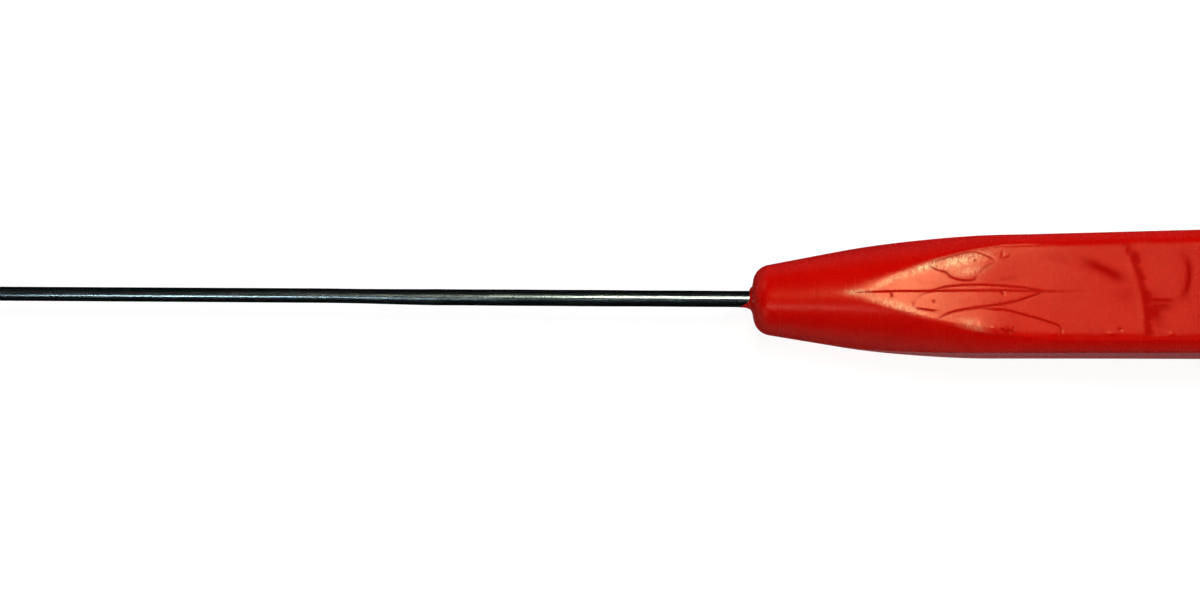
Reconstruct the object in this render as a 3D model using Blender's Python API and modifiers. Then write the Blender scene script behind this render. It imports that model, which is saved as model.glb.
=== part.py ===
"""Scratch awl: a round steel blade with a needle point, its tang moulded into a square plastic handle.

Metres, +Z up. The tool is designed upright in a frame of its own, called the tool frame: Z is the axis of
the handle, 0 is the front of its nose, the handle is above it and the point of the blade below it.
One empty then lays that frame down, so that the handle's lower flat rests on Z = 0 and the point is at -X.
The blade sits in the handle with a slight sideways lean, as it was held in the mould.
A profile is a list of (radius, height) from top to bottom.
"""

import math

import bmesh
import bpy

# Blade
BLADE_REACH = 0.1524  # from the handle's nose to the point
SHANK_RADIUS = 0.0015
SHANK_LENGTH = 0.057  # the full-width part outside the handle
NECK_HEIGHT = -0.071  # where the ground part starts to run nearly parallel
NECK_RADIUS = 0.00134
POINT_START_HEIGHT = -0.137
POINT_START_RADIUS = 0.0013
POINT_TIP_RADIUS = 0.0001
POINT_TIP_LENGTH = 0.0002
BLADE_STEPS = 24
BLADE_LEAN = math.radians(1.04)  # the point leans towards +Y
LEAN_PIVOT_HEIGHT = 0.013  # where the blade's axis crosses the handle's

# Tang, the part of the blade inside the handle, with a hammered fishtail that keeps it from turning
TANG_LENGTH = 0.062
TANG_END_CHAMFER = 0.0004
FISHTAIL_START = 0.046
FISHTAIL_FULL = 0.050
FISHTAIL_HALF_WIDTH = 0.00245
FISHTAIL_HALF_THICKNESS = 0.00075
FISHTAIL_RINGS = 4
TANG_CLEARANCE = 0.0003  # keeps two faceted solids apart where the real plastic grips the steel

# Handle: the turned envelope
HANDLE_LENGTH = 0.1016
NOSE_CONE_RADIUS = 0.0059  # the nose cone's radius at height 0
NOSE_CONE_SLOPE = 0.176
CORNER_RADIUS = 0.01265  # the rounded corners' radius about the axis, carried on to height 0
CORNER_SLOPE = 0.0195
SHOULDER_ROUND = 0.07
BUTT_ROUND = 0.006
RIM_ROUND = 0.0034
NOSE_DISH = 0.176  # how far the nose's front leans back for each metre of radius
HANDLE_STEPS = 64
ARC_STEP = math.radians(12)

# Handle: the collar of plastic that the mould lets out along the blade
COLLAR_FOOT_RADIUS = 0.0027
COLLAR_LIP_RADIUS = 0.0021
COLLAR_LENGTH = 0.001
COLLAR_ROOT = 0.0015  # how far it starts inside the nose

# Handle: the four flats
FLAT_HALF_WIDTH = 0.01007  # half the width across flats, carried on to height 0
FLAT_SLOPE = 0.01307
FLAT_ROLL_START = 0.044  # in front of this height the flats curve in towards the nose
FLAT_ROLL_RADIUS = 0.278
FLAT_ROLL_CUTS = 8
CUTTER_MARGIN = 0.002

TAPER_ANGLE = math.atan(FLAT_SLOPE)
SHARP_ANGLE = math.radians(14)
MERGE_DISTANCE = 0.00001


def clear_scene():
    for old in list(bpy.data.objects):
        bpy.data.objects.remove(old)


def new_collection(name):
    collection = bpy.data.collections.new(name)
    bpy.context.scene.collection.children.link(collection)
    return collection


def plain_material(name, colour, metallic, roughness):
    material = bpy.data.materials.new(name)
    material.use_nodes = True
    shader = material.node_tree.nodes["Principled BSDF"]
    shader.inputs["Base Color"].default_value = (*colour, 1.0)
    shader.inputs["Metallic"].default_value = metallic
    shader.inputs["Roughness"].default_value = roughness
    return material


def line_meeting(slope_a, start_a, slope_b, start_b):
    """The (radius, height) where radius = start + slope * height holds for both lines."""
    height = (start_b - start_a) / (slope_a - slope_b)
    return start_a + slope_a * height, height


def rounded(corners):
    """Profile points along corners of (radius, height, rounding), each corner's arc in short steps."""
    points = []
    for index, (radius, height, rounding) in enumerate(corners):
        if not rounding:
            points.append((radius, height))
            continue
        before, after = corners[index - 1], corners[index + 1]
        angle_in = math.atan2(before[1] - height, before[0] - radius)
        angle_out = math.atan2(after[1] - height, after[0] - radius)
        inside = math.remainder(angle_out - angle_in, math.tau)
        middle = angle_in + inside / 2
        reach = rounding / abs(math.sin(inside / 2))
        centre = (radius + reach * math.cos(middle), height + reach * math.sin(middle))
        turn = math.copysign(math.pi, inside) - inside
        steps = max(2, math.ceil(abs(turn) / ARC_STEP))
        start = middle + math.pi + turn / 2
        for step in range(steps + 1):
            angle = start - turn * step / steps
            points.append(
                (centre[0] + rounding * math.cos(angle), centre[1] + rounding * math.sin(angle))
            )
    return points


def turned(name, profile, steps, collection):
    """A solid of revolution about Z."""
    mesh = bpy.data.meshes.new(name)
    points = [(radius, 0.0, height) for radius, height in profile]
    edges = [(i, i + 1) for i in range(len(points) - 1)]
    mesh.from_pydata(points, edges, [])
    piece = bpy.data.objects.new(name, mesh)
    collection.objects.link(piece)
    screw = piece.modifiers.new("turn", "SCREW")
    screw.steps = steps
    screw.render_steps = steps
    screw.use_merge_vertices = True
    screw.merge_threshold = MERGE_DISTANCE
    return piece


def frozen(piece):
    """The piece with its modifiers applied, shaded smooth between its sharp edges."""
    bpy.context.view_layer.update()
    graph = bpy.context.evaluated_depsgraph_get()
    mesh = bpy.data.meshes.new_from_object(piece.evaluated_get(graph))
    piece.modifiers.clear()
    piece.data = mesh
    mesh.shade_smooth()
    mesh.set_sharp_from_angle(angle=SHARP_ANGLE)
    return piece


def flat_half_width(height):
    """Half the width across the handle's flats."""
    rolled = max(0.0, FLAT_ROLL_START - height)
    return FLAT_HALF_WIDTH + FLAT_SLOPE * height - rolled**2 / (2 * FLAT_ROLL_RADIUS)


def handle_profile():
    """The handle's turned envelope, solid: butt, corners, nose cone and rounded rim."""
    butt_radius = CORNER_RADIUS + CORNER_SLOPE * HANDLE_LENGTH
    shoulder = line_meeting(CORNER_SLOPE, CORNER_RADIUS, NOSE_CONE_SLOPE, NOSE_CONE_RADIUS)
    rim_height = NOSE_DISH * (NOSE_CONE_RADIUS - COLLAR_FOOT_RADIUS) / (1 - NOSE_DISH * NOSE_CONE_SLOPE)
    rim_radius = NOSE_CONE_RADIUS + NOSE_CONE_SLOPE * rim_height
    return rounded(
        [
            (0.0, HANDLE_LENGTH, 0),
            (butt_radius, HANDLE_LENGTH, BUTT_ROUND),
            (*shoulder, SHOULDER_ROUND),
            (rim_radius, rim_height, RIM_ROUND),
            (COLLAR_FOOT_RADIUS, 0.0, 0),
            (0.0, 0.0, 0),
        ]
    )


def tang_profile(clearance):
    """The tang down to the nose, grown by the clearance."""
    radius = SHANK_RADIUS + clearance
    top = TANG_LENGTH + clearance
    rings = [
        FISHTAIL_FULL + (FISHTAIL_START - FISHTAIL_FULL) * ring / FISHTAIL_RINGS
        for ring in range(FISHTAIL_RINGS + 1)
    ]
    return [
        (0.0, top),
        (radius - TANG_END_CHAMFER, top),
        (radius, top - TANG_END_CHAMFER),
        *[(radius, height) for height in rings],
    ]


def hammer_fishtail(mesh, clearance):
    """Flattens the end of the tang: thinner along X, wider along Y."""
    radius = SHANK_RADIUS + clearance
    thin = (FISHTAIL_HALF_THICKNESS + clearance) / radius
    wide = (FISHTAIL_HALF_WIDTH + clearance) / radius
    for vertex in mesh.vertices:
        share = (vertex.co.z - FISHTAIL_START) / (FISHTAIL_FULL - FISHTAIL_START)
        share = min(1.0, max(0.0, share))
        vertex.co.x *= 1 + share * (thin - 1)
        vertex.co.y *= 1 + share * (wide - 1)


def lean(piece):
    """Turns a piece made about the handle's axis onto the blade's."""
    piece.rotation_euler.x = BLADE_LEAN
    piece.location.y = LEAN_PIVOT_HEIGHT * math.sin(BLADE_LEAN)
    piece.location.z = LEAN_PIVOT_HEIGHT * (1 - math.cos(BLADE_LEAN))
    return piece


def make_blade(collection):
    ground = [
        (SHANK_RADIUS, -SHANK_LENGTH),
        (NECK_RADIUS, NECK_HEIGHT),
        (POINT_START_RADIUS, POINT_START_HEIGHT),
        (POINT_TIP_RADIUS, POINT_TIP_LENGTH - BLADE_REACH),
        (0.0, -BLADE_REACH),
    ]
    blade = frozen(turned("blade", tang_profile(0.0) + ground, BLADE_STEPS, collection))
    hammer_fishtail(blade.data, 0.0)
    blade.data.materials.append(plain_material("steel", (0.26, 0.28, 0.28), 1.0, 0.32))
    return lean(blade)


def make_bar_cutter(collection):
    """The square bar that the turned envelope is cut to, with flats that curve in towards the nose."""
    low, high = -COLLAR_LENGTH - CUTTER_MARGIN, HANDLE_LENGTH + CUTTER_MARGIN
    form = bmesh.new()
    bmesh.ops.create_cube(form, size=2.0)
    for vertex in form.verts:
        vertex.co.z = low if vertex.co.z < 0 else high
    for cut in range(FLAT_ROLL_CUTS + 1):
        bmesh.ops.bisect_plane(
            form,
            geom=form.verts[:] + form.edges[:] + form.faces[:],
            plane_co=(0.0, 0.0, FLAT_ROLL_START * cut / FLAT_ROLL_CUTS),
            plane_no=(0.0, 0.0, 1.0),
        )
    for vertex in form.verts:
        half = flat_half_width(max(0.0, vertex.co.z))
        vertex.co.x = math.copysign(half, vertex.co.x)
        vertex.co.y = math.copysign(half, vertex.co.y)
    mesh = bpy.data.meshes.new("bar_cutter")
    form.to_mesh(mesh)
    form.free()
    cutter = bpy.data.objects.new("bar_cutter", mesh)
    collection.objects.link(cutter)
    return cutter


def make_collar(collection):
    """The collar, solid, with its root inside the nose."""
    profile = [
        (0.0, COLLAR_ROOT),
        (COLLAR_FOOT_RADIUS, COLLAR_ROOT),
        (COLLAR_FOOT_RADIUS, 0.0),
        (COLLAR_LIP_RADIUS, -COLLAR_LENGTH),
        (0.0, -COLLAR_LENGTH),
    ]
    return lean(turned("collar", profile, BLADE_STEPS, collection))


def make_tang_cutter(collection):
    """The space that the tang takes up in the handle, carried out through the collar."""
    radius = SHANK_RADIUS + TANG_CLEARANCE
    below = -COLLAR_LENGTH - CUTTER_MARGIN
    profile = tang_profile(TANG_CLEARANCE) + [(radius, below), (0.0, below)]
    cutter = frozen(turned("tang_cutter", profile, BLADE_STEPS, collection))
    hammer_fishtail(cutter.data, TANG_CLEARANCE)
    return lean(cutter)


def combine(piece, other, operation):
    boolean = piece.modifiers.new(other.name, "BOOLEAN")
    boolean.operation = operation
    boolean.object = other


def make_handle(collection, cutters):
    handle = turned("handle", handle_profile(), HANDLE_STEPS, collection)
    combine(handle, make_bar_cutter(cutters), "INTERSECT")
    combine(handle, make_collar(cutters), "UNION")
    combine(handle, make_tang_cutter(cutters), "DIFFERENCE")
    frozen(handle)
    handle.data.materials.clear()
    handle.data.materials.append(plain_material("red_plastic", (0.56, 0.008, 0.004), 0.0, 0.3))
    return handle


def lay_down(pieces):
    """Turns the tool frame so that the lower flat lies on Z = 0, midway between the point and the butt."""
    butt_flat_radius = CORNER_RADIUS + CORNER_SLOPE * HANDLE_LENGTH - BUTT_ROUND
    behind = HANDLE_LENGTH * math.cos(TAPER_ANGLE) + butt_flat_radius * math.sin(TAPER_ANGLE)
    ahead = BLADE_REACH * math.cos(TAPER_ANGLE)
    rest = bpy.data.objects.new("awl_axis", None)
    bpy.context.scene.collection.objects.link(rest)
    rest.location = ((ahead - behind) / 2, 0.0, FLAT_HALF_WIDTH * math.cos(TAPER_ANGLE))
    rest.rotation_euler = (0.0, math.pi / 2 - TAPER_ANGLE, 0.0)
    for piece in pieces:
        piece.parent = rest


def main():
    clear_scene()
    parts = new_collection("scratch_awl")
    cutters = new_collection("cutters")
    pieces = [make_blade(parts), make_handle(parts, cutters)]
    for cutter in cutters.objects:
        cutter.hide_render = True
        cutter.display_type = "WIRE"
    lay_down(pieces)


main()
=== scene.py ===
"""Scratch awl: the fine surface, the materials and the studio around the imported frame. Metres, +Z up.

The tool frame: U runs along the handle's axis from the front of its nose to the butt, V is sideways (+Y) and
W is square to both, up from the lower flat. A place on a flat is (u, v), u along the handle and v across it.
"""

import math

import bpy
import numpy as np
from mathutils import Matrix, Vector


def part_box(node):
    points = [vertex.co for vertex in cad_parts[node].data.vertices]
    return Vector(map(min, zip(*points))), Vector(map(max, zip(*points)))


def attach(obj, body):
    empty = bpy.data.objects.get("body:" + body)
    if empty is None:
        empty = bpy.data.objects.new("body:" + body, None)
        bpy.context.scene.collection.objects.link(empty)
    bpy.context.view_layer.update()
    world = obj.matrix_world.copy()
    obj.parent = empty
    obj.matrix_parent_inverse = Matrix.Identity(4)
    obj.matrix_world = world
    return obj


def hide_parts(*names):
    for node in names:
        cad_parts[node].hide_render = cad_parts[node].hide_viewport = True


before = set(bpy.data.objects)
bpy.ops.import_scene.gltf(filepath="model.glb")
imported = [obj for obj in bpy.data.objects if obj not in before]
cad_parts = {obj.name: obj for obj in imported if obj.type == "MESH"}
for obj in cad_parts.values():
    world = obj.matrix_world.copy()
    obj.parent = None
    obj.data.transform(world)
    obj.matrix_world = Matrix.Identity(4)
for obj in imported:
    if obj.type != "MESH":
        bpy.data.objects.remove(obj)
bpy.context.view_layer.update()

MM = 0.001

# Handle, as the CAD model has it
HANDLE_LENGTH = 101.6 * MM
NOSE_CONE_RADIUS = 5.9 * MM
NOSE_CONE_SLOPE = 0.176
CORNER_RADIUS = 12.65 * MM
CORNER_SLOPE = 0.0195
SHOULDER_ROUND = 70 * MM
BUTT_ROUND = 6 * MM
RIM_ROUND = 3.4 * MM
NOSE_DISH = 0.176
FLAT_HALF_WIDTH = 10.07 * MM
FLAT_SLOPE = 0.01307
FLAT_ROLL_START = 44 * MM
FLAT_ROLL_RADIUS = 278 * MM
TAPER_ANGLE = math.atan(FLAT_SLOPE)

# The plastic that the mould lets out along the blade
COLLAR_FOOT_RADIUS = 2.5 * MM
COLLAR_LIP_RADIUS = 1.54 * MM
COLLAR_LENGTH = 1.0 * MM
# The shown nose starts this far behind the CAD model's
NOSE_SET_BACK = 0.3 * MM
BORE_CLEARANCE = 0.01 * MM

# Blade, as the CAD model has it
BLADE_REACH = 152.4 * MM
BLADE_LEAN = math.radians(1.04)
LEAN_PIVOT = 13 * MM
SHANK_RADIUS = 1.5 * MM
SHANK_LENGTH = 57 * MM
NECK_START = 71 * MM
NECK_RADIUS = 1.34 * MM
POINT_START = 137 * MM
POINT_START_RADIUS = 1.30 * MM
TANG_LENGTH = 62 * MM
FISHTAIL_START = 46 * MM
FISHTAIL_FULL = 50 * MM
FISHTAIL_HALF_WIDTH = 2.45 * MM
FISHTAIL_HALF_THICKNESS = 0.75 * MM

# The blade's sideways step past the shank, and the ripples along the shank
STEP_BACK = 0.17 * MM
STEP_BACK_FULL = 80 * MM
SHANK_RIPPLE = 0.012


def handle_axis():
    """The tool frame's origin and its U, V and W directions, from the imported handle's box."""
    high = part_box("handle")[1]
    butt_flat = CORNER_RADIUS + CORNER_SLOPE * HANDLE_LENGTH - BUTT_ROUND
    along = Vector((math.cos(TAPER_ANGLE), 0.0, math.sin(TAPER_ANGLE)))
    up = Vector((-math.sin(TAPER_ANGLE), 0.0, math.cos(TAPER_ANGLE)))
    nose_x = high.x - HANDLE_LENGTH * along.x - butt_flat * along.z
    return Vector((nose_x, 0.0, FLAT_HALF_WIDTH * up.z)), along, Vector((0.0, 1.0, 0.0)), up


ORIGIN, ALONG, ACROSS, UP = handle_axis()


def to_world(u, v, w):
    """Points of the tool frame, given as arrays, in the row frame."""
    axes = np.array([ALONG, ACROSS, UP], float)
    return np.stack([u, v, w], -1) @ axes + np.array(ORIGIN, float)


def blade_offset(u):
    """How far to the side the blade's axis is from the handle's."""
    return (LEAN_PIVOT - u) * math.tan(BLADE_LEAN)


# ---------------------------------------------------------------- meshes


def lattice_mesh(name, points, values):
    """A mesh from rows of rings of points, shape (rows, ring, 3), closed by one point at each end.

    values holds named numbers for each point, kept as attributes for the material."""
    rows, ring = points.shape[:2]

    def in_order(grid):
        inner = grid[1:-1].reshape((rows - 2) * ring, *grid.shape[2:])
        return np.concatenate([grid[0, :1], inner, grid[-1, :1]])

    index = 1 + np.arange((rows - 2) * ring).reshape(rows - 2, ring)
    after = np.roll(index, -1, axis=1)
    quads = np.stack([index[:-1], after[:-1], after[1:], index[1:]], -1).reshape(-1, 4)
    last = 1 + (rows - 2) * ring
    first_fan = np.stack([np.zeros(ring, int), after[0], index[0]], -1)
    last_fan = np.stack([np.full(ring, last), index[-1], after[-1]], -1)
    mesh = bpy.data.meshes.new(name)
    faces = quads.tolist() + first_fan.tolist() + last_fan.tolist()
    mesh.from_pydata(in_order(points).tolist(), [], faces)
    for value_name, grid in values.items():
        attribute = mesh.attributes.new(value_name, "FLOAT", "POINT")
        attribute.data.foreach_set("value", in_order(grid).astype(np.float32))
    mesh.shade_smooth()
    piece = bpy.data.objects.new(name, mesh)
    bpy.context.scene.collection.objects.link(piece)
    return piece


def rounded(corners, arc_step=math.radians(4)):
    """Profile points along corners of (u, radius, rounding), each corner's arc in short steps."""
    points = []
    for index, (u, radius, rounding) in enumerate(corners):
        if not rounding:
            points.append((u, radius))
            continue
        before, after = corners[index - 1], corners[index + 1]
        angle_in = math.atan2(before[1] - radius, before[0] - u)
        angle_out = math.atan2(after[1] - radius, after[0] - u)
        inside = math.remainder(angle_out - angle_in, math.tau)
        middle = angle_in + inside / 2
        reach = rounding / abs(math.sin(inside / 2))
        centre = (u + reach * math.cos(middle), radius + reach * math.sin(middle))
        turn = math.copysign(math.pi, inside) - inside
        steps = max(2, math.ceil(abs(turn) / arc_step))
        start = middle + math.pi + turn / 2
        for step in range(steps + 1):
            angle = start - turn * step / steps
            points.append((centre[0] + rounding * math.cos(angle), centre[1] + rounding * math.sin(angle)))
    return np.array(points)


def resampled(points, step_at):
    """The profile at steps of step_at(u) along its own length."""
    lengths = np.concatenate([[0.0], np.cumsum(np.hypot(*np.diff(points, axis=0).T))])
    places = [0.0]
    while places[-1] < lengths[-1]:
        u = np.interp(places[-1], lengths, points[:, 0])
        places.append(places[-1] + step_at(u))
    places = np.array(places[:-1] + [lengths[-1]])
    if places[-1] - places[-2] < 0.3 * (places[-2] - places[-3]):
        places = np.delete(places, -2)
    return np.stack([np.interp(places, lengths, points[:, i]) for i in (0, 1)], -1)


def smooth_min(a, b, width):
    """The smaller of a and b, with the corner between them eased over about that width."""
    share = np.clip(0.5 + 0.5 * (b - a) / width, 0, 1)
    return b + (a - b) * share - width * share * (1 - share)


def fishtail(u):
    """How many times wider and thicker than the round the tang is, where its end is hammered flat."""
    share = np.clip((u - FISHTAIL_START) / (FISHTAIL_FULL - FISHTAIL_START), 0, 1)
    wide = 1 + share * (FISHTAIL_HALF_WIDTH / SHANK_RADIUS - 1)
    thin = 1 + share * (FISHTAIL_HALF_THICKNESS / SHANK_RADIUS - 1)
    return wide, thin


# ---------------------------------------------------------------- marks in the moulding


def curve_through(points, per_span=14):
    """A smooth curve through points of (u, v) in millimetres, in metres."""
    places = np.array(points, float) * MM
    padded = np.concatenate([2 * places[:1] - places[1:2], places, 2 * places[-1:] - places[-2:-1]])
    share = np.linspace(0, 1, per_span, endpoint=False)[:, None]
    spans = []
    for before, start, end, beyond in zip(padded, padded[1:], padded[2:], padded[3:]):
        bend = 2 * before - 5 * start + 4 * end - beyond
        turn = 3 * (start - end) + beyond - before
        spans.append(start + 0.5 * share * (end - before + share * (bend + share * turn)))
    return np.concatenate(spans + [places[-1:]])


def measured(u, v, curve):
    """Each place's distance from the curve, the share of the curve's length there, and the place's side."""
    start, step = curve[:-1], np.diff(curve, axis=0)
    length = np.hypot(*step.T)
    before = np.concatenate([[0.0], np.cumsum(length)[:-1]])
    from_u, from_v = u[..., None] - start[:, 0], v[..., None] - start[:, 1]
    along = np.clip((from_u * step[:, 0] + from_v * step[:, 1]) / length**2, 0, 1)
    distance = np.hypot(from_u - along * step[:, 0], from_v - along * step[:, 1])
    nearest = distance.argmin(-1)[..., None]
    share = np.take_along_axis(before + along * length, nearest, -1)[..., 0] / length.sum()
    side = np.sign(np.take_along_axis(step[:, 0] * from_v - step[:, 1] * from_u, nearest, -1))[..., 0]
    return np.take_along_axis(distance, nearest, -1)[..., 0], share, side


def tapered(share, ends):
    """Full strength along a mark, fading over that share of its length at its start and its end."""
    start, end = ends
    rise = np.clip(share / start, 0, 1) if start else 1.0
    fall = np.clip((1 - share) / end, 0, 1) if end else 1.0
    return rise * fall


def soft_blob(u, v, centre, reach, turn=0.0):
    """1 in the middle of an oval (u, v) in millimetres, fading to 0 at about twice its reach."""
    du, dv = u / MM - centre[0], v / MM - centre[1]
    cos, sin = math.cos(math.radians(turn)), math.sin(math.radians(turn))
    return np.exp(-(((du * cos + dv * sin) / reach[0]) ** 2) - ((dv * cos - du * sin) / reach[1]) ** 2)


# Where two streams of plastic met: (points, depth and half-width in millimetres, fades at the start and end).
# Most of these points were read off the photo as pixels and turned into (u, v) by a separate script, and some
# were then moved by hand. The same holds for FLOW_EDGE.
UPPER_FLAT_GROOVES = (
    (
        [(17.6, 0.4), (25, 0.5), (31.8, 0.4), (44.3, 0.3), (52.3, 0), (59, 0), (64, -0.1)],
        0.05,
        0.13,
        (0.04, 0.25),
    ),
    (
        [(31.4, 5.5), (33.7, 6.3), (36.4, 7.1), (38.9, 7.7), (40.9, 7.3), (42.6, 6.4), (43.9, 5.6)],
        0.035,
        0.16,
        (0.2, 0.1),
    ),
    (
        [(31.4, 5.5), (33, 4.4), (34.7, 3.8), (35.6, 2.9), (37.4, 2.3), (39.7, 2.3), (40.2, 3.2)],
        0.045,
        0.16,
        (0.08, 0.06),
    ),
    ([(40.2, 3.2), (42.1, 4.8), (43.9, 5.6)], 0.022, 0.18, (0.2, 0.3)),
    (
        [
            (28.6, -1.9), (30.4, -0.3), (33.4, 0.8), (36.3, 1.3),
            (40.7, 1.4), (45.4, 1.1), (48.7, 0.7), (52.1, 0.1),
        ],
        0.04,
        0.16,
        (0.2, 0.05),
    ),
    (
        [(32.2, -5.2), (34.9, -3.7), (37.3, -3.1), (40.7, -2.6), (45.3, -2.0), (48.7, -1.2), (52.1, 0)],
        0.045,
        0.18,
        (0.15, 0.04),
    ),
    ([(29.1, -2.6), (31.6, -3.0), (33.6, -3.3)], 0.04, 0.16, (0.1, 0.3)),
    ([(29.1, -2.6), (28.8, -1.9), (29.3, -1.2)], 0.02, 0.18, (0.3, 0.3)),
    (
        [
            (39.6, -2.7), (42, -2.9), (45.3, -3.2), (48.6, -4.1),
            (51.1, -4.9), (53.2, -5.6), (54.7, -6.3), (55, -7.8),
        ],
        0.05,
        0.16,
        (0.2, 0.05),
    ),
    ([(44.8, 7.7), (44.8, 7.0), (44.5, 6.1)], 0.05, 0.16, (0.2, 0.2)),
    ([(46.6, 7.2), (45.8, 6.5), (44.9, 6.3)], 0.03, 0.16, (0.3, 0.2)),
    ([(24.7, 0.4), (24.9, -0.2), (24.7, -0.9)], 0.035, 0.16, (0.1, 0.4)),
    ([(44.6, 0.2), (44.9, -0.6)], 0.06, 0.25, (0.1, 0.4)),
    ([(32.3, -1.1), (32.6, -1.9)], 0.035, 0.2, (0.3, 0.3)),
    ([(43.9, -6.3), (45.2, -6.9), (46.4, -7.0)], 0.085, 0.24, (0.2, 0.3)),
    ([(45.2, -5.6), (45.6, -6.8), (45.4, -7.6)], 0.07, 0.18, (0.3, 0.3)),
    ([(46.6, -5.9), (46.3, -6.9), (46.8, -7.7)], 0.075, 0.18, (0.2, 0.4)),
    ([(44.6, -7.3), (45.9, -7.6)], 0.06, 0.18, (0.3, 0.3)),
    ([(76.2, 7.4), (77.5, 5.6), (78, 3.6), (77.8, 1.2), (77.0, -0.9), (75.4, -2.1)], 0.05, 0.55, (0.3, 0.25)),
    ([(75.9, -2.0), (73.5, -1.9), (70.6, -1.7)], 0.05, 0.3, (0.3, 0.1)),
    ([(57.5, 5.6), (60.8, 4.7), (63.9, 3.2), (67.3, 1.2)], 0.045, 0.9, (0.35, 0.25)),
    ([(50.6, 6.4), (54, 6.0), (58.5, 5.0)], 0.012, 0.5, (0.4, 0.4)),
    ([(41, 1.7), (45, 2.2), (50, 3.4)], 0.012, 0.35, (0.4, 0.4)),
    ([(70.5, -3.2), (72.5, -3.0), (74.8, -2.6)], 0.035, 0.18, (0.2, 0.3)),
    ([(70.6, -3.9), (72.3, -3.7), (73.8, -3.5)], 0.035, 0.16, (0.2, 0.3)),
    ([(70.6, -4.6), (72, -4.5), (73, -4.4)], 0.03, 0.16, (0.2, 0.3)),
)

# Softer weld lines on the other three flats, in the same order as the flats
OTHER_FLAT_GROOVES = {
    1: (
        ([(20, 0.3), (36, -0.4), (55, 0.5), (80, 0.2)], 0.05, 0.5, (0.1, 0.4)),
        ([(40, 6.5), (46, 3.5), (56, 2.2), (66, 3.4), (72, 7.5)], 0.05, 0.6, (0.2, 0.2)),
    ),
    2: (
        ([(19, 0), (40, 0.3), (64, -0.2)], 0.05, 0.6, (0.1, 0.4)),
        ([(60, -8), (62.5, -3), (61.8, 3), (59.5, 8)], 0.06, 0.8, (0.1, 0.1)),
    ),
    3: (
        ([(21, -0.2), (38, 0.5), (58, -0.3), (84, 0)], 0.05, 0.5, (0.1, 0.4)),
        ([(38, -5.5), (48, -2.6), (58, -2.4), (68, -4.4), (75, -7.8)], 0.05, 0.6, (0.2, 0.2)),
    ),
}

# Small risen flecks and beads, and pits where the height is negative: (centre, reach, height), in millimetres
UPPER_FLAT_FLECKS = (
    ((40.6, -6.4), (0.28, 0.8), 0.05),
    ((42.9, -6.2), (0.3, 0.3), 0.03),
    ((64.0, -7.6), (0.7, 0.35), 0.06),
    ((65.4, -7.0), (0.3, 0.3), -0.05),
    ((74.7, -7.8), (0.3, 0.3), 0.05),
    ((67.0, 7.7), (0.35, 0.4), 0.05),
    ((67.2, 6.9), (0.3, 0.5), -0.04),
    ((40.0, 6.0), (0.25, 0.25), -0.03),
    ((55.5, -7.6), (0.3, 0.5), 0.03),
    ((53.6, -7.5), (0.4, 0.4), 0.025),
)

# Duller skin with painted shade in its colour, most of it beside the last flow edge: (centre, reach, turn in
# degrees, strength)
DULL_AND_SHADED_PATCHES = (
    ((71.8, -4.0), (1.0, 2.4), 12, 1.0),
    ((73.2, -3.0), (1.7, 0.8), 0, 0.9),
    ((64.0, 3.2), (3.4, 0.75), -24, 0.9),
    ((61.5, 4.5), (2.2, 0.6), -20, 0.5),
    ((77.8, 3.2), (0.6, 2.4), -4, 0.7),
    ((77.2, -0.4), (0.6, 1.6), 14, 0.6),
    ((66.4, -0.8), (1.8, 1.6), 0, 0.45),
    ((45.6, -6.9), (1.5, 0.7), 0, 0.6),
)

# Finely crinkled skin along the arch, which also takes a pale painted highlight in its colour: (centre,
# reach, turn in degrees, strength)
CRINKLE_AND_HIGHLIGHT_PATCHES = (
    ((36.8, 5.9), (4.2, 1.0), 12, 0.95),
    ((30.6, 4.7), (3.4, 0.6), 22, 1.0),
    ((24.5, 2.4), (3.2, 0.45), 25, 0.7),
    ((26.0, -2.1), (4.4, 0.6), -17, 0.65),
    ((39.0, -5.6), (2.2, 0.9), -16, 0.4),
    ((38.8, 4.0), (2.6, 0.7), 8, 0.45),
    ((18.9, 0.45), (1.9, 0.5), 0, 0.75),
)

# Broad low swells in the upper flat: (centre, reach, height), in millimetres
SWELLS = (
    ((43.0, 5.6), (6.0, 2.6), 0.16),
    ((44.0, -5.6), (4.4, 2.4), 0.1),
    ((60.0, 1.0), (7.0, 5.0), 0.04),
)

# How many times deeper and higher the grooves and flecks of the upper flat are than listed
GROOVE_DEPTH = 1.3
FLECK_HEIGHT = 3

# The edge that the last of the plastic left, where the flat steps down towards the butt
FLOW_EDGE = [(65.6, 8.8), (65.9, 7.8), (67.3, 5.9), (68.5, 1.9), (69.2, -1.1), (69.6, -4.6), (69.7, -8.6)]


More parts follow.
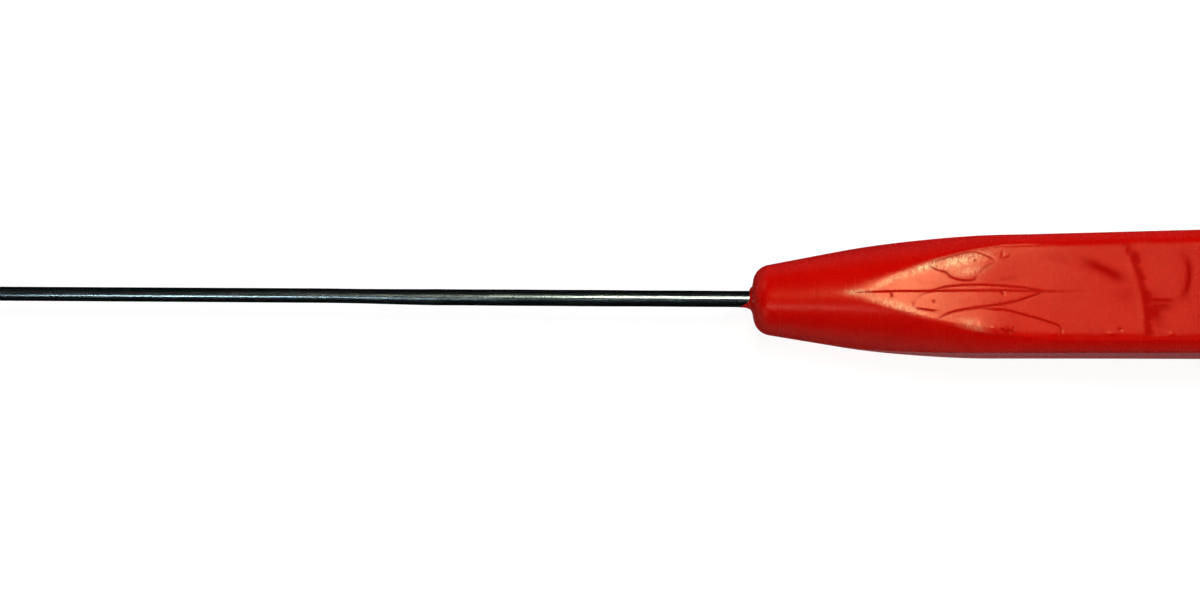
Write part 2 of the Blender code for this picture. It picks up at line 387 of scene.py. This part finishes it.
def upper_flat_relief(u, v):
    """The upper flat at each (u, v): the height of its fine marks and that of its broad swells and steps, in
    metres, and how dull its skin is, from 0 to 1, which also sets how much painted shade darkens its colour."""
    marks = np.zeros(u.shape)
    dull = np.zeros(u.shape)
    for points, depth, half_width, ends in UPPER_FLAT_GROOVES:
        distance, share, _ = measured(u, v, curve_through(points))
        strength = tapered(share, ends)
        marks -= GROOVE_DEPTH * depth * MM * np.exp(-((distance / (half_width * MM)) ** 2)) * strength
        trace = np.exp(-((distance / (1.2 * half_width * MM)) ** 2))
        # Grooves are made dull too, and dull skin is painted darker red as shade
        dull = np.maximum(dull, min(1.0, depth / 0.03) * strength * trace)
    for centre, reach, rise in UPPER_FLAT_FLECKS:
        marks += FLECK_HEIGHT * rise * MM * soft_blob(u, v, centre, reach)
        dull = np.maximum(dull, (rise < 0) * soft_blob(u, v, centre, reach))
    distance, share, side = measured(u, v, curve_through(FLOW_EDGE))
    finest = 0.12 * np.sin(v / (0.23 * MM) + 1)
    ragged = 0.16 * np.sin(v / (0.55 * MM)) + finest + 0.1 * np.sin(v / (1.7 * MM))
    beyond = np.where(side > 0, distance, -distance) / MM
    fading = tapered(share, (0.2, 0.05))
    ridge = 0.04 * np.exp(-(((beyond + 0.3) / 0.4) ** 2))
    rising_back = (1 - smooth_share(beyond, 2.0, 9.0)) * (1 - smooth_share(u, 76 * MM, 84 * MM))
    drop = 0.11 * smooth_share(beyond, -0.1, 1.9) * rising_back
    swells = (ridge - drop * fading) * MM
    band = smooth_share(beyond, 0.05, 0.35) * (1 - smooth_share(beyond + 2.2 * ragged, 1.1, 2.2))
    # The band beside the flow edge is dull and painted darker red as shade
    dull = np.maximum(dull, 0.9 * fading * band)
    for centre, reach, turn, strength in DULL_AND_SHADED_PATCHES:
        dull = np.maximum(dull, strength * soft_blob(u, v, centre, reach, turn))
    for centre, reach, rise in SWELLS:
        swells += rise * MM * soft_blob(u, v, centre, reach)
    return marks, swells, np.clip(dull, 0, 1)


def upper_flat_crinkle_and_highlight(u, v):
    """1 where the skin of the upper flat is finely crinkled and painted with a pale highlight, 0 where it is
    smooth.
    """
    total = 0
    for centre, reach, turn, strength in CRINKLE_AND_HIGHLIGHT_PATCHES:
        total = total + strength * soft_blob(u, v, centre, reach, turn)
    return np.clip(total, 0, 1)


def waviness(u, v, seed, amplitude):
    """Slow dips and rises left by shrinkage: waves of 7 to 30 mm in all directions."""
    random = np.random.default_rng(seed)
    height = np.zeros(np.broadcast(u, v).shape)
    for _ in range(9):
        length = random.uniform(7, 30) * MM
        direction = random.uniform(0, math.pi)
        phase = random.uniform(0, math.tau)
        travel = u * math.cos(direction) + v * math.sin(direction)
        height += amplitude * (length / (20 * MM)) * np.sin(math.tau * travel / length + phase) / 3
    return height


# ---------------------------------------------------------------- handle


def smooth_share(value, start, end):
    """0 before the start, 1 past the end, and smooth between."""
    share = np.clip((value - start) / (end - start), 0, 1)
    return share * share * (3 - 2 * share)


def flat_height(u):
    """How far each flat is from the handle's axis."""
    rolled = np.clip(FLAT_ROLL_START - u, 0, None)
    return FLAT_HALF_WIDTH + FLAT_SLOPE * u - rolled**2 / (2 * FLAT_ROLL_RADIUS)


# How far apart the rows of points along the handle are, each up to its u: finest where the marks are
HANDLE_STEPS = ((3 * MM, 0.2 * MM), (17 * MM, 0.4 * MM), (79 * MM, 0.235 * MM))
LAST_HANDLE_STEP = 0.45 * MM


def handle_profile():
    """Rows of (u, radius) from the middle of the butt, along the outside, to the foot of the collar."""
    butt = CORNER_RADIUS + CORNER_SLOPE * HANDLE_LENGTH
    shoulder_u = (CORNER_RADIUS - NOSE_CONE_RADIUS) / (NOSE_CONE_SLOPE - CORNER_SLOPE)
    foot = COLLAR_FOOT_RADIUS
    rim_u = NOSE_DISH * (NOSE_CONE_RADIUS - foot) / (1 - NOSE_DISH * NOSE_CONE_SLOPE)
    outline = rounded(
        [
            (HANDLE_LENGTH, 0.0, 0),
            (HANDLE_LENGTH, butt, BUTT_ROUND),
            (shoulder_u, CORNER_RADIUS + CORNER_SLOPE * shoulder_u, SHOULDER_ROUND),
            (rim_u + NOSE_SET_BACK, NOSE_CONE_RADIUS + NOSE_CONE_SLOPE * rim_u, RIM_ROUND),
            (NOSE_SET_BACK, foot, 0),
        ]
    )

    def step_at(u):
        return next((step for end, step in HANDLE_STEPS if u < end), LAST_HANDLE_STEP)

    return resampled(outline, step_at)


def bore_rows():
    """Rows of (u, radius, turned onto the blade's axis) for the collar and for the cavity round the tang."""
    fillet = np.linspace(0, 1, 9)[1:]
    collar_u = NOSE_SET_BACK - (COLLAR_LENGTH + NOSE_SET_BACK) * fillet
    collar_radius = COLLAR_LIP_RADIUS + (COLLAR_FOOT_RADIUS - COLLAR_LIP_RADIUS) * (1 - fillet) ** 2.6
    bore = SHANK_RADIUS + BORE_CLEARANCE
    cavity_u = [-COLLAR_LENGTH, 1 * MM, 10 * MM, 25 * MM, FISHTAIL_START]
    cavity_u += list(np.linspace(FISHTAIL_START, FISHTAIL_FULL, 6)[1:])
    cavity_u += [TANG_LENGTH + BORE_CLEARANCE]
    rows = list(zip(collar_u, collar_radius)) + [(u, bore) for u in cavity_u]
    return np.array(rows + [(TANG_LENGTH + BORE_CLEARANCE, 0.0)])


# The front of the upper flat leans a little towards +Y, and is lower at that edge and higher at the other
FRONT_TWIST = 0.05
UPPER_EDGE_FALL = 0.13 * MM
LOWER_EDGE_RISE = 0.08 * MM
EDGE_REACH = 1.1 * MM

# Columns of points across each flat, and where those of a corner stand
FACE_COLUMNS = (112, 32, 18, 32)
CORNER_SHARES = (0.04, 0.12, 0.26, 0.5, 0.74, 0.88, 0.96)

# How wide the flats' edges are eased: everywhere, then what is added towards the butt, what is added on the
# negative side of each flat there, and what is added at one soft spot of the upper flat
EDGE_EASE = 0.22 * MM
REAR_EASE = 0.35 * MM
LOWER_SIDE_EASE = 0.3 * MM
SOFT_SPOT_EASE = 0.5 * MM
SOFT_SPOT, SOFT_SPOT_REACH = (40.0, -7.0), (5.0, 3.0)

MARK_MARGIN = 0.35 * MM
WAVE_HEIGHT = 0.009 * MM
DIMPLE_DEPTH = 0.22 * MM
DIMPLE_RADIUS = 1.5 * MM


def column_shares():
    """Stations round the handle: the face, the share across its flat from -1 to 1, and the share of its
    corner, or -1 on the flat. Face 0 is the upper one, and the others follow towards +Y."""
    columns = []
    for face, count in enumerate(FACE_COLUMNS):
        columns += [(face, share, -1.0) for share in np.linspace(-1, 1, count)]
        columns += [(face, 1.0, share) for share in CORNER_SHARES]
    return np.array(columns).T


def flat_edges(envelope, height, twist):
    """How far the flat reaches to each side of its middle, where it meets the turned body. A twisted flat
    falls away towards +, so it reaches further there. Where the body lies inside the flat, a narrow strip is
    kept."""
    reach = (height * twist) ** 2 - (1 + twist**2) * (height**2 - envelope**2)
    half = np.sqrt(np.clip(reach, 0, None)) / (1 + twist**2)
    shift = height * twist / (1 + twist**2)
    least = 0.3 * envelope
    half = half + least * np.exp(-((half / np.maximum(least, 1e-9)) ** 2))
    return shift - half, shift + half


def make_handle():
    profile = handle_profile()
    u, envelope = profile[:, :1], profile[:, 1:]
    height = flat_height(u)
    twists = [FRONT_TWIST * (1 - smooth_share(u, 40 * MM, 58 * MM))] + [0 * u] * 3
    fall = UPPER_EDGE_FALL * smooth_share(u, 18 * MM, 22 * MM) * (1 - smooth_share(u, 36 * MM, 46 * MM))
    rise = LOWER_EDGE_RISE * smooth_share(u, 17 * MM, 20 * MM) * (1 - smooth_share(u, 24 * MM, 36 * MM))
    edges = [flat_edges(envelope, height, twist) for twist in twists]
    low_edge = flat_edges(envelope, height + rise, twists[0])[0]
    high_edge = flat_edges(envelope, height - fall, twists[0])[1]
    edges[0] = low_edge, high_edge
    base = [np.minimum(height, envelope) + 1e-12] * 4
    starts = [np.arctan2(low, depth) for (low, _), depth in zip(edges, base)]
    ends = [np.arctan2(high, depth) for (_, high), depth in zip(edges, base)]

    face, share, corner = column_shares()
    angle = np.zeros((len(u), len(face)))
    sideways = np.zeros(angle.shape)
    relief = np.zeros(angle.shape)
    engraved = np.zeros(angle.shape)
    crinkle_and_highlight = np.zeros(angle.shape)
    dull = np.zeros(angle.shape)
    near_ends = smooth_share(HANDLE_LENGTH - u, 1 * MM, 6 * MM) * smooth_share(u, 4 * MM, 12 * MM)
    for side in range(4):
        flat = (face == side) & (corner < 0)
        across = edges[side][0] + (edges[side][1] - edges[side][0]) * (share[flat] + 1) / 2
        angle[:, flat] = np.arctan2(across, base[side]) + side * math.pi / 2
        along = u + 0 * across
        sideways[:, flat] = across
        relief[:, flat] = near_ends * waviness(along, across, 3 + side, WAVE_HEIGHT) - twists[side] * across
        if side == 0:
            marks, swells, dull[:, flat] = upper_flat_relief(along, across)
            from_edge = np.minimum(edges[0][1] - across, across - edges[0][0])
            engraved[:, flat] = marks * smooth_share(from_edge, 0.0, MARK_MARGIN)
            crinkle_and_highlight[:, flat] = upper_flat_crinkle_and_highlight(along, across)
            relief[:, flat] += swells
            relief[:, flat] -= fall * np.exp(-(edges[0][1] - across) / EDGE_REACH)
            relief[:, flat] += rise * np.exp(-(across - edges[0][0]) / EDGE_REACH)
        for points, depth, half_width, fades in OTHER_FLAT_GROOVES.get(side, ()):
            distance, along_mark, _ = measured(along, across, curve_through(points))
            trace = np.exp(-((distance / (half_width * MM)) ** 2)) * tapered(along_mark, fades)
            relief[:, flat] -= depth * MM * trace
            # These grooves are dull too, and painted darker red as shade
            dull[:, flat] = np.maximum(dull[:, flat], 0.35 * trace)
        turn = (face == side) & (corner >= 0)
        last, following = ends[side], math.pi / 2 + starts[(side + 1) % 4]
        angle[:, turn] = last + corner[turn] * (following - last) + side * math.pi / 2

    shown = np.abs((angle + math.pi / 4) % (math.pi / 2) - math.pi / 4)
    square = (height + relief) / np.cos(shown)
    turned = envelope * (1 + 0.0007 * near_ends * np.sin(3 * angle + 190 * u) * np.cos(310 * u + 2 * angle))
    softer = soft_blob(u + 0 * sideways, sideways, SOFT_SPOT, SOFT_SPOT_REACH) * (face == 0)
    lower_side = LOWER_SIDE_EASE * (sideways < 0) * smooth_share(u, 40 * MM, 54 * MM)
    rear = REAR_EASE * smooth_share(u, 40 * MM, 50 * MM)
    ease = EDGE_EASE + rear + SOFT_SPOT_EASE * softer + lower_side
    radius = smooth_min(turned, square, ease) + engraved
    radius = np.where(u > HANDLE_LENGTH - 1e-9, envelope, radius)
    v, w = radius * np.sin(angle), radius * np.cos(angle)
    sink = DIMPLE_DEPTH * np.exp(-((np.hypot(v, w) / DIMPLE_RADIUS) ** 4)) * (u > HANDLE_LENGTH - 1e-9)
    outside = to_world(u - sink, v, w)

    rows = bore_rows()
    bore_u, bore_radius = rows[:, :1], rows[:, 1:]
    bore_angle = angle[-1] + 0 * bore_u
    creep = smooth_share(NOSE_SET_BACK - bore_u, 0, COLLAR_LENGTH + NOSE_SET_BACK)
    under = np.clip(-np.sin(bore_angle), 0, 1) ** 2
    longer = 1 + creep * (1.85 * under - 0.85 + 0.08 * np.sin(3 * bore_angle + 1))
    bore_u = bore_u * np.where(bore_u < 0, longer, 1)
    wide, thin = fishtail(bore_u)
    bore_v = bore_radius * np.sin(bore_angle) * wide + blade_offset(bore_u)
    bore_w = bore_radius * np.cos(bore_angle) * thin
    inside = to_world(bore_u, bore_v, bore_w)
    plain = np.zeros(bore_v.shape)
    # The crinkle attribute also carries where the pale painted highlight goes, and the dull one where the
    # painted shade goes
    values = {"crinkle_and_highlight": np.concatenate([crinkle_and_highlight, plain]), "dull": np.concatenate([dull, plain])}
    handle = lattice_mesh("red_handle", np.concatenate([outside, inside]), values)
    handle.data.materials.append(plastic_material())
    return handle


# How far apart the rows of points along the blade are, at its point and along the rest
POINT_STEP = 0.15 * MM
BLADE_STEP = 0.5 * MM


def blade_profile():
    rows = rounded(
        [
            (TANG_LENGTH, 0.0, 0),
            (TANG_LENGTH, SHANK_RADIUS, 0.4 * MM),
            (-SHANK_LENGTH, SHANK_RADIUS, 0),
            (-NECK_START, NECK_RADIUS, 0),
            (-POINT_START, POINT_START_RADIUS, 8 * MM),
            (-BLADE_REACH, 0.0, 0),
        ]
    )

    def step_at(u):
        if u < -POINT_START + 4 * MM:
            return POINT_STEP
        return BLADE_STEP

    return resampled(rows, step_at)


def make_blade():
    profile = blade_profile()
    u, radius = profile[:, :1], profile[:, 1:]
    angle = np.linspace(0, math.tau, 96, endpoint=False)[None, :]
    wide, thin = fishtail(u)
    waves = SHANK_RIPPLE * np.sin(u / (9 * MM) + 1) * np.sin(u / (3.7 * MM))
    ripple = 1 + waves * (u > -SHANK_LENGTH) * (u < 0)
    radius = radius * ripple
    before_point = 1 - smooth_share(-u, POINT_START, BLADE_REACH)
    step_back = STEP_BACK * smooth_share(-u, SHANK_LENGTH, STEP_BACK_FULL) * before_point
    v = radius * np.sin(angle) * wide + blade_offset(u) + step_back
    w = radius * np.cos(angle) * thin
    blade = lattice_mesh("steel_blade", to_world(u + 0 * v, v, w), {})
    blade.data.materials.append(steel_material())
    return blade


# ---------------------------------------------------------------- materials

# Linear RGB. The crinkled patches' pale colour is a painted highlight, standing for the light the crinkled
# skin scatters, and the dull red is painted shade on the dull skin and in the grooves
DEEP_RED, BRIGHT_RED = (0.56, 0.0004, 0.0001), (0.63, 0.002, 0.0003)
PAINTED_HIGHLIGHT_PEACH, PAINTED_SHADE_RED = (1.0, 0.62, 0.32), (0.4, 0.001, 0.0003)
RED_SHEEN = (1.0, 0.48, 0.28, 1.0)
DARK_STEEL, LIGHT_STEEL = (0.2, 0.25, 0.26), (0.35, 0.42, 0.43)
STAINED_STEEL = (0.17, 0.2, 0.2)

# The plastic's specular level, and how much of it the dull skin loses
PLASTIC_SPECULAR = 0.6
DULL_LOSS = 0.57

# Where along X, in metres, the ground point begins and where it is fully ground
GROUND_FROM, GROUND_FULLY = -0.114, -0.119


class Material:
    """A material's nodes: each method adds one and returns its output."""

    def __init__(self, name):
        self.material = bpy.data.materials.new(name)
        self.material.use_nodes = True
        self.nodes, self.links = self.material.node_tree.nodes, self.material.node_tree.links
        self.shader = self.nodes["Principled BSDF"]
        self.place = self.nodes.new("ShaderNodeTexCoord").outputs["Object"]

    def put(self, value, socket):
        """Sets a socket to a number or colour, or links it to another node's output."""
        if isinstance(value, bpy.types.NodeSocket):
            self.links.new(value, socket)
        else:
            socket.default_value = value

    def stretched(self, per_mm):
        """Places counted in cells: how many to the millimetre along X, Y and Z."""
        node = self.nodes.new("ShaderNodeVectorMath")
        node.operation = "MULTIPLY"
        self.links.new(self.place, node.inputs[0])
        node.inputs[1].default_value = [count / MM for count in per_mm]
        return node.outputs[0]

    def noise(self, per_mm, detail=2.0, distortion=0.0):
        node = self.nodes.new("ShaderNodeTexNoise")
        self.put(self.stretched(per_mm), node.inputs["Vector"])
        node.inputs["Scale"].default_value = 1.0
        node.inputs["Detail"].default_value = detail
        node.inputs["Distortion"].default_value = distortion
        return node.outputs["Fac"]

    def spots(self, per_mm):
        """Distance from the nearest of many scattered points, in cells."""
        node = self.nodes.new("ShaderNodeTexVoronoi")
        self.put(self.stretched(per_mm), node.inputs["Vector"])
        node.inputs["Scale"].default_value = 1.0
        return node.outputs["Distance"]

    def ranged(self, value, low, high, to_low, to_high):
        node = self.nodes.new("ShaderNodeMapRange")
        node.interpolation_type = "SMOOTHSTEP"
        for number, socket in zip((value, low, high, to_low, to_high), node.inputs):
            self.put(number, socket)
        return node.outputs["Result"]

    def maths(self, operation, first, second):
        node = self.nodes.new("ShaderNodeMath")
        node.operation = operation
        self.put(first, node.inputs[0])
        self.put(second, node.inputs[1])
        return node.outputs[0]

    def attribute(self, name):
        node = self.nodes.new("ShaderNodeAttribute")
        node.attribute_name = name
        return node.outputs["Fac"]

    def colours(self, share, first, second):
        """The first colour where the share is 0 and the second where it is 1."""
        node = self.nodes.new("ShaderNodeMix")
        node.data_type = "RGBA"
        colour_inputs = [socket for socket in node.inputs if socket.type == "RGBA"]
        self.put(share, node.inputs["Factor"])
        for value, socket in zip((first, second), colour_inputs):
            self.put(value if isinstance(value, bpy.types.NodeSocket) else (*value, 1.0), socket)
        return next(socket for socket in node.outputs if socket.type == "RGBA")

    def coordinate(self, axis):
        node = self.nodes.new("ShaderNodeSeparateXYZ")
        self.links.new(self.place, node.inputs[0])
        return node.outputs[axis]

    def bumps(self, layers):
        """The normal after layers of (height from 0 to 1, depth in metres)."""
        normal = None
        for height, depth in layers:
            node = self.nodes.new("ShaderNodeBump")
            self.put(height, node.inputs["Height"])
            self.put(depth, node.inputs["Distance"])
            if normal is not None:
                self.links.new(normal, node.inputs["Normal"])
            normal = node.outputs["Normal"]
        return normal


def plastic_material():
    """Glossy red moulding, its skin a little wavy and uneven in shine, crinkled where the streams met. The
    crinkles carry a pale painted highlight in the colour, and the dull skin and the grooves carry a painted
    shade.
    """
    red = Material("moulded_red_plastic")
    crinkle_and_highlight = red.attribute("crinkle_and_highlight")
    dull = red.attribute("dull")
    cloud = red.noise((0.09, 0.16, 0.16), 3.0)
    streaks = red.noise((0.9, 0.07, 0.07), 3.0)
    clouded = red.ranged(cloud, 0.3, 0.7, 0.3, 1.0)
    streaked = red.ranged(streaks, 0.25, 0.7, 0.6, 1.0)
    body = red.colours(red.maths("MULTIPLY", clouded, streaked), DEEP_RED, BRIGHT_RED)
    highlight_speckle = red.ranged(red.noise((2.2, 1.3, 1.3), 5.0, 1.0), 0.42, 0.6, 0.35, 1.0)
    # Painted highlight: a pale colour mixed in, speckled, where the skin is crinkled
    light = red.colours(red.maths("MULTIPLY", crinkle_and_highlight, highlight_speckle), body, PAINTED_HIGHLIGHT_PEACH)
    # Painted shade: dull skin, grooves and pits are coloured a darker red
    with_painted_shade = red.colours(red.maths("MULTIPLY", dull, 0.9), light, PAINTED_SHADE_RED)
    red.put(with_painted_shade, red.shader.inputs["Base Color"])

    skin = red.ranged(red.noise((0.35, 0.5, 0.5), 4.0), 0.3, 0.75, 0.26, 0.285)
    worn = red.ranged(red.noise((1.1, 0.18, 0.18), 5.0, 0.6), 0.56, 0.72, 0.0, 0.035)
    shine = red.maths("SUBTRACT", red.maths("ADD", skin, worn), red.maths("MULTIPLY", crinkle_and_highlight, 0.07))
    red.put(shine, red.shader.inputs["Roughness"])
    specular = red.maths("SUBTRACT", PLASTIC_SPECULAR, red.maths("MULTIPLY", dull, DULL_LOSS))
    red.put(specular, red.shader.inputs["Specular IOR Level"])

    ripples = red.noise((1.7, 0.75, 0.75), 4.0, 0.8)
    pits = red.ranged(red.spots((0.8, 0.8, 0.8)), 0.03, 0.12, 0.0, 1.0)
    scratches = red.ranged(red.noise((0.25, 7.0, 7.0), 2.0), 0.66, 0.72, 1.0, 0.0)
    layers = (
        (red.noise((0.5, 0.5, 0.5), 1.0), 0.004 * MM),
        (red.noise((1.5, 0.2, 0.2), 2.0), 0.0025 * MM),
        (scratches, 0.0003 * MM),
        (pits, 0.0006 * MM),
        (ripples, red.maths("MULTIPLY", crinkle_and_highlight, 0.16 * MM)),
    )
    red.put(red.bumps(layers), red.shader.inputs["Normal"])
    red.put(RED_SHEEN, red.shader.inputs["Specular Tint"])
    return red.material


def steel_material():
    """Drawn steel, dull blue-grey with fine lines along it, and ground brighter towards the point."""
    steel = Material("drawn_steel")
    streaks = steel.noise((0.03, 5.5, 5.5), 4.0)
    blotches = steel.noise((0.14, 0.7, 0.7), 4.0, 0.5)
    ground = steel.ranged(steel.coordinate("X"), GROUND_FROM, GROUND_FULLY, 0.0, 1.0)
    dark = steel.colours(steel.ranged(streaks, 0.3, 0.7, 0.0, 1.0), DARK_STEEL, LIGHT_STEEL)
    stained = steel.colours(steel.ranged(blotches, 0.5, 0.75, 0.0, 0.55), dark, STAINED_STEEL)
    steel.put(stained, steel.shader.inputs["Base Color"])
    steel.put(1.0, steel.shader.inputs["Metallic"])
    shine = steel.ranged(streaks, 0.25, 0.75, 0.18, 0.28)
    shine = steel.maths("ADD", shine, steel.ranged(blotches, 0.4, 0.8, 0.0, 0.09))
    shine = steel.maths("SUBTRACT", shine, steel.maths("MULTIPLY", ground, 0.06))
    steel.put(shine, steel.shader.inputs["Roughness"])
    pits = steel.ranged(steel.spots((0.9, 1.6, 1.6)), 0.05, 0.2, 0.0, 1.0)
    rings = steel.noise((9.0, 0.3, 0.3), 2.0)
    layers = (
        (steel.noise((0.02, 9.0, 9.0), 3.0), 0.0025 * MM),
        (pits, 0.0015 * MM),
        (rings, steel.maths("MULTIPLY", ground, 0.003 * MM)),
    )
    steel.put(steel.bumps(layers), steel.shader.inputs["Normal"])
    return steel.material


def floor_material():
    """A lit white table: bright enough by itself that the shadow on it is faint."""
    white = Material("white_floor")
    for name, value in (
        ("Base Color", (0.2, 0.2, 0.2, 1.0)),
        ("Roughness", 1.0),
        ("Specular IOR Level", 0.0),
        ("Emission Color", (1.0, 1.0, 1.0, 1.0)),
        ("Emission Strength", 0.93),
    ):
        white.put(value, white.shader.inputs[name])
    return white.material


# ---------------------------------------------------------------- studio

VIEW_WIDTH = 218.4 * MM
CAMERA_LENS = 100
CAMERA_SENSOR = 36
CAMERA_ELEVATION = math.radians(85)
CAMERA_ROLL = math.radians(-0.63)
VIEW_AHEAD_OF_NOSE = 27.4 * MM
VIEW_ASIDE = 0.37 * MM

FLOOR_SIZE = 6
BACKDROP_RADIUS = 2.9
BACKDROP_HEIGHT = 6
BACKDROP_MIDDLE = 2.9

# How bright the room is by the Z of a direction: (from, to, brightness there, brightness here)
ROOM_ABOVE = (0.3, 0.97, 0.006, 0.022)
ROOM_BELOW = (-0.93, -0.99, 0.0, 0.16)


def make_floor():
    bpy.ops.mesh.primitive_plane_add(size=FLOOR_SIZE)
    floor = bpy.context.object
    floor.name = "floor"
    floor.data.materials.append(floor_material())
    floor.visible_glossy = False


def make_backdrop():
    """A pale wall all round the table, seen by the camera but lighting nothing."""
    bpy.ops.mesh.primitive_cylinder_add(
        vertices=96,
        radius=BACKDROP_RADIUS,
        depth=BACKDROP_HEIGHT,
        end_fill_type="NOTHING",
        location=(0, 0, BACKDROP_MIDDLE),
    )
    wall = bpy.context.object
    wall.name = "backdrop"
    wall.data.materials.append(bpy.data.materials["white_floor"])
    wall.visible_diffuse = False
    wall.visible_glossy = False
    wall.visible_transmission = False
    wall.visible_shadow = False


def make_camera():
    camera = bpy.data.objects.new("camera", bpy.data.cameras.new("camera"))
    bpy.context.scene.collection.objects.link(camera)
    camera.data.lens = CAMERA_LENS
    camera.data.sensor_width = CAMERA_SENSOR
    distance = VIEW_WIDTH * CAMERA_LENS / CAMERA_SENSOR
    target = Vector((ORIGIN.x - VIEW_AHEAD_OF_NOSE, VIEW_ASIDE, ORIGIN.z))
    back = Vector((0.0, -math.cos(CAMERA_ELEVATION), math.sin(CAMERA_ELEVATION)))
    camera.matrix_world = (
        Matrix.Translation(target + distance * back)
        @ Matrix.Rotation(math.pi / 2 - CAMERA_ELEVATION, 4, "X")
        @ Matrix.Rotation(CAMERA_ROLL, 4, "Z")
    )
    bpy.context.scene.camera = camera


def add_light(name, place, size, power, colour, glossy=True):
    """An area light at that place in metres, facing the frame's origin, near the middle of the view."""
    data = bpy.data.lights.new(name, "AREA")
    data.shape = "RECTANGLE"
    data.size, data.size_y = size
    data.energy = power
    data.color = colour
    light = bpy.data.objects.new(name, data)
    bpy.context.scene.collection.objects.link(light)
    light.location = place
    light.rotation_euler = Vector(place).to_track_quat("Z", "Y").to_euler()
    light.visible_glossy = glossy
    return light


def make_world():
    """A dark room, a little lighter straight above and lighter below, where a table would be reflected."""
    world = bpy.data.worlds.new("studio")
    bpy.context.scene.world = world
    world.use_nodes = True
    nodes, links = world.node_tree.nodes, world.node_tree.links
    place = nodes.new("ShaderNodeTexCoord")
    split = nodes.new("ShaderNodeSeparateXYZ")
    links.new(place.outputs["Generated"], split.inputs["Vector"])
    total = nodes.new("ShaderNodeMath")
    for index, (low, high, to_low, to_high) in enumerate((ROOM_ABOVE, ROOM_BELOW)):
        ramp = nodes.new("ShaderNodeMapRange")
        ramp.interpolation_type = "SMOOTHSTEP"
        links.new(split.outputs["Z"], ramp.inputs["Value"])
        for number, socket in zip((low, high, to_low, to_high), list(ramp.inputs)[1:5]):
            socket.default_value = number
        links.new(ramp.outputs["Result"], total.inputs[index])
    background = nodes["Background"]
    background.inputs["Color"].default_value = (0.85, 0.95, 1.0, 1.0)
    links.new(total.outputs[0], background.inputs["Strength"])


def make_lights():
    add_light("overhead", (0.6, 0.45, 1.3), (0.45, 0.45), 11.8, (1.0, 1.03, 1.1), glossy=False)
    add_light("warm_key", (0.028, 0.062, 0.29), (0.05, 0.09), 0.305, (1.0, 0.92, 0.72))
    add_light("warm_fill", (0.13, 0.035, 0.50), (0.18, 0.2), 0.125, (1.0, 0.95, 0.85))
    add_light("cool_lamp", (-0.175, -0.30, 0.60), (0.1, 0.09), 0.075, (0.76, 0.96, 1.25))
    add_light("cool_low", (-0.131, -0.15, 0.30), (0.035, 0.05), 0.09, (0.8, 0.95, 1.0))
    add_light("soft_bar", (-0.05, -0.5, 1.0), (0.4, 0.08), 0.022, (0.8, 1.0, 0.95))
    for across in (-1, 1):
        for along in (-1, 1):
            name = f"corner_panel_{'rear' if along > 0 else 'front'}_{'far' if across > 0 else 'near'}"
            panel = add_light(name, (0.9 * along, 0.8 * across, 0.45), (0.6, 0.4), 0.7, (1.0, 1.0, 1.0))
            panel.visible_diffuse = False


def main():
    handle = make_handle()
    blade = make_blade()
    for piece, node, slot in ((handle, "handle", "red_plastic"), (blade, "blade", "steel")):
        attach(piece, "root")
        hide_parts(node)
    make_floor()
    make_backdrop()
    make_camera()
    make_world()
    make_lights()
    bpy.context.scene.view_settings.view_transform = "Standard"


main()
